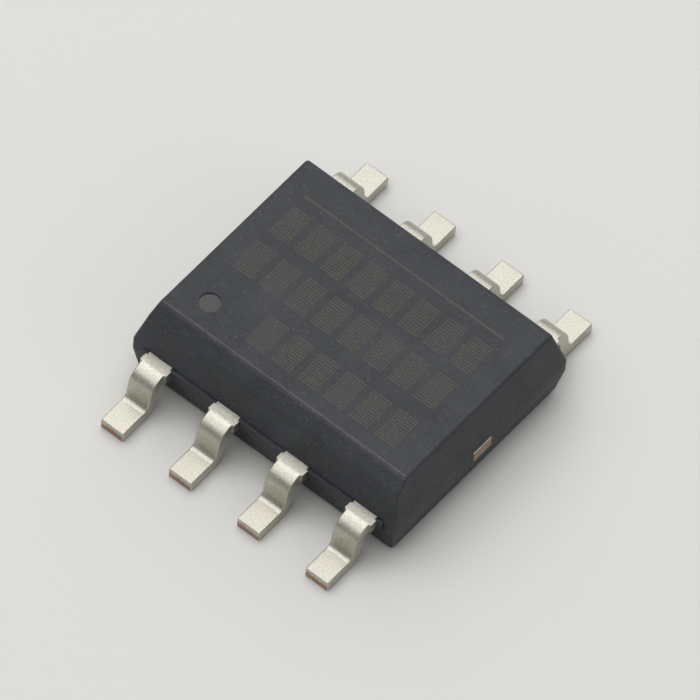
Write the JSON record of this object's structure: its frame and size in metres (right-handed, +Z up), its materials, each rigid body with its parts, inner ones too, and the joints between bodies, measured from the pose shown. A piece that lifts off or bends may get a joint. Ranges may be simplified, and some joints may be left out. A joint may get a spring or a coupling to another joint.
{
  "type": "switching regulator",
  "caption": "Small-outline switching regulator chip: black moulded body with one bevelled top edge, gull-wing leads along both long sides and a thermal pad underneath.",
  "frame": {"origin": "centre of the footprint, on the board's surface under the feet", "axes": "+X along the lead rows away from pin 1, +Y from the pin 1 row to the other row, +Z up from the board"},
  "size_m": [0.005, 0.006, 0.0015],
  "materials": {
    "mould_compound": "matte moulded epoxy with fine spark-eroded texture",
    "tin_plate": "matte tin plate on copper, satin",
    "silver_adhesive": "cured silver-filled epoxy",
    "silicon": "polished silicon",
    "bond_wire": "drawn copper wire"
  },
  "bodies": {
    "root": {"mould_body": "mould_compound", "lead_1": "tin_plate", "lead_2": "tin_plate", "lead_3": "tin_plate", "lead_4": "tin_plate", "lead_5": "tin_plate", "lead_6": "tin_plate", "lead_7": "tin_plate", "lead_8": "tin_plate", "thermal_pad": "tin_plate", "die_attach": "silver_adhesive", "silicon_die": "silicon", "bond_wire_1": "bond_wire", "bond_wire_2": "bond_wire", "bond_wire_3": "bond_wire", "bond_wire_4": "bond_wire", "bond_wire_5": "bond_wire", "bond_wire_6": "bond_wire", "bond_wire_7": "bond_wire", "bond_wire_8": "bond_wire"}
  },
  "joints": []
}
